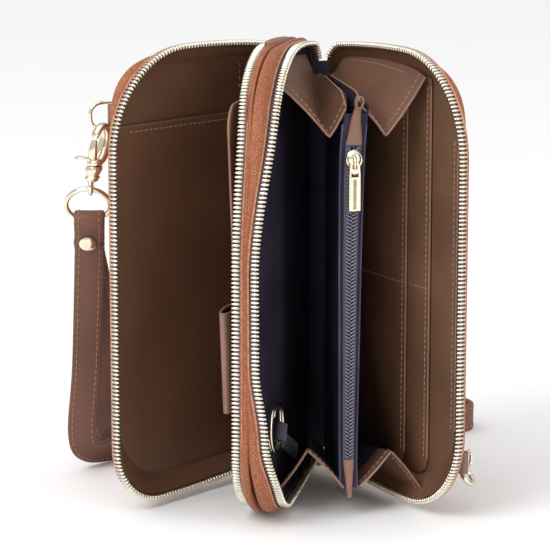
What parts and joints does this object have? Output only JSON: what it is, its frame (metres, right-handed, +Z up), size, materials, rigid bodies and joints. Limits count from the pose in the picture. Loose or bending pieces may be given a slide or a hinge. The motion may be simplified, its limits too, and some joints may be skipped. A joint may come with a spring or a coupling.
{
  "type": "wallet",
  "caption": "Brown leather double zip-round phone wallet standing open, with card and coin pockets, pen loop, key ring and wrist strap.",
  "frame": {"origin": "on the floor under the middle of the divider, at mid depth of its short end", "axes": "+Z up the standing wallet, -Y from the spines to the divider's front edge, +X towards the side with the coin pocket"},
  "size_m": [0.1994, 0.2003, 0.1996],
  "materials": {
    "pebbled_leather": "pebbled orange-brown leather, satin",
    "smooth_leather": "smooth dark brown leather, satin",
    "strap_leather": "smooth brown strap leather, satin",
    "board": "pressed fibre stiffener, matt",
    "navy_cloth": "woven navy lining, matt",
    "zip_tape": "woven grey tape, matt",
    "zip_coil": "dark nylon coil",
    "pale_gold": "polished pale gold plate"
  },
  "bodies": {
    "divider": {"divider_board": "board", "divider_left_shell": "pebbled_leather", "divider_left_lining": "smooth_leather", "divider_left_tape": "zip_tape", "divider_left_teeth": "pale_gold", "divider_right_shell": "pebbled_leather", "divider_right_lining": "navy_cloth", "divider_right_tape": "zip_tape", "divider_right_teeth": "pale_gold", "divider_top_strip": "smooth_leather", "document_page": "smooth_leather", "pen_loop": "strap_leather", "key_ribbon": "navy_cloth", "spine_left": "pebbled_leather", "spine_right": "pebbled_leather", "gusset_top_inner": "smooth_leather", "gusset_top_outer": "smooth_leather", "gusset_bottom_inner": "smooth_leather", "gusset_bottom_outer": "smooth_leather", "wrist_strap": "strap_leather"},
    "left_cover": {"left_cover_shell": "pebbled_leather", "left_cover_board": "board", "left_cover_lining": "smooth_leather", "left_cover_tape": "zip_tape", "left_cover_teeth": "pale_gold", "phone_pocket": "smooth_leather", "left_ring_tab": "smooth_leather", "strap_rivet": "pale_gold"},
    "left_ring": {"left_d_ring": "pale_gold"},
    "clasp": {"clasp_body": "pale_gold"},
    "clasp_gate": {"clasp_lever": "pale_gold"},
    "swivel": {"clasp_swivel": "pale_gold"},
    "strap_loop": {"strap_ring": "pale_gold"},
    "coin_pocket": {"coin_panel_left": "smooth_leather", "coin_panel_right": "smooth_leather", "coin_tape": "navy_cloth", "coin_coil": "zip_coil", "coin_tab_top": "smooth_leather", "coin_tab_bottom": "smooth_leather"},
    "coin_runner": {"coin_slider": "pale_gold"},
    "coin_handle": {"coin_pull": "pale_gold"},
    "right_cover": {"right_cover_shell": "pebbled_leather", "right_cover_board": "board", "right_cover_lining": "smooth_leather", "right_cover_tape": "zip_tape", "right_cover_teeth": "pale_gold", "card_pocket_1": "smooth_leather", "card_pocket_2": "smooth_leather", "card_pocket_3": "smooth_leather", "right_ring_tab": "smooth_leather"},
    "right_ring": {"right_d_ring": "pale_gold"},
    "right_link": {"right_link_ring": "pale_gold"},
    "keys": {"key_ring": "pale_gold"},
    "left_runner": {"left_zip_slider": "pale_gold"},
    "left_handle": {"left_zip_pull": "pale_gold"},
    "right_runner": {"right_zip_slider": "pale_gold"},
    "right_handle": {"right_zip_pull": "pale_gold"}
  },
  "joints": [
    {"name": "left_cover_hinge", "type": "hinge", "parent": "divider", "child": "left_cover", "pos_m": [-0.008, 0.05, 0], "axis": [0, 0, -1], "range_deg": [-29.1, 20], "deforming": ["spine_left", "wrist_strap"]},
    {"name": "coin_pocket_hinge", "type": "hinge", "parent": "divider", "child": "coin_pocket", "pos_m": [0.008, 0.05, 0], "axis": [0, 0, 1], "range_deg": [-19, 8], "deforming": ["gusset_top_inner", "gusset_bottom_inner"]},
    {"name": "right_cover_hinge", "type": "hinge", "parent": "coin_pocket", "child": "right_cover", "pos_m": [0.008, 0.05, 0], "axis": [0, 0, 1], "range_deg": [-22.95, 9.7], "deforming": ["gusset_top_outer", "gusset_bottom_outer", "spine_right"]},
    {"name": "left_ring_swing", "type": "hinge", "parent": "left_cover", "child": "left_ring", "pos_m": [-0.06423, -0.02079, 0.1705], "axis": [0, 0, 1], "range_deg": [-15, 1.5]},
    {"name": "clasp_swing", "type": "hinge", "parent": "left_ring", "child": "clasp", "pos_m": [-0.0701, -0.02459, 0.163], "axis": [0.8396, 0.5432, 0], "range_deg": [-4, 6]},
    {"name": "clasp_gate_hinge", "type": "hinge", "parent": "clasp", "child": "clasp_gate", "pos_m": [-0.0681, -0.0277, 0.1551], "axis": [0.8396, 0.5432, 0], "range_deg": [-22, 0], "stiffness_Nm_per_rad": 0.00002},
    {"name": "swivel_turn", "type": "hinge", "parent": "clasp", "child": "swivel", "pos_m": [-0.0701, -0.02459, 0.1502], "axis": [0, 0, 1], "range_deg": [-12, 12]},
    {"name": "strap_ring_swing", "type": "hinge", "parent": "swivel", "child": "strap_loop", "pos_m": [-0.0701, -0.02459, 0.14], "axis": [-0.225, 0.9744, 0], "range_deg": [-5, 2.5]},
    {"name": "coin_slider_slide", "type": "slide", "parent": "coin_pocket", "child": "coin_runner", "axis": [0, 0, 1], "range_m": [-0.12, 0]},
    {"name": "coin_pull_swing", "type": "hinge", "parent": "coin_runner", "child": "coin_handle", "pos_m": [0.03787, -0.02265, 0.152], "axis": [0.9249, 0.3803, 0], "range_deg": [-150, 0]},
    {"name": "right_ring_swing", "type": "hinge", "parent": "right_cover", "child": "right_ring", "pos_m": [0.07824, -0.00008, 0.022], "axis": [0, 0, 1], "range_deg": [-40, 12]},
    {"name": "right_link_swing", "type": "hinge", "parent": "right_ring", "child": "right_link", "pos_m": [0.0773, 0.00686, 0.0145], "axis": [-0.134, 0.991, 0], "range_deg": [-12, 12]},
    {"name": "key_ring_swing", "type": "hinge", "parent": "divider", "child": "keys", "pos_m": [0.0058, -0.0201, 0.03566], "axis": [1, 0, 0], "range_deg": [-3, 3]},
    {"name": "left_zip_slide", "type": "slide", "parent": "divider", "child": "left_runner", "axis": [0, -0.9939, -0.1104], "range_m": [0, 0.022]},
    {"name": "left_zip_pull_swing", "type": "hinge", "parent": "left_runner", "child": "left_handle", "pos_m": [-0.008, 0.04692, 0.00383], "axis": [1, 0, 0], "range_deg": [-12, 4]},
    {"name": "right_zip_slide", "type": "slide", "parent": "divider", "child": "right_runner", "axis": [0, -0.9939, -0.1104], "range_m": [0, 0.022]},
    {"name": "right_zip_pull_swing", "type": "hinge", "parent": "right_runner", "child": "right_handle", "pos_m": [0.008, 0.04692, 0.00383], "axis": [1, 0, 0], "range_deg": [-12, 4]}
  ],
  "couplings": [
    {"joint": "right_cover_hinge", "follows": "coin_pocket_hinge", "ratio": 1.2074}
  ]
}
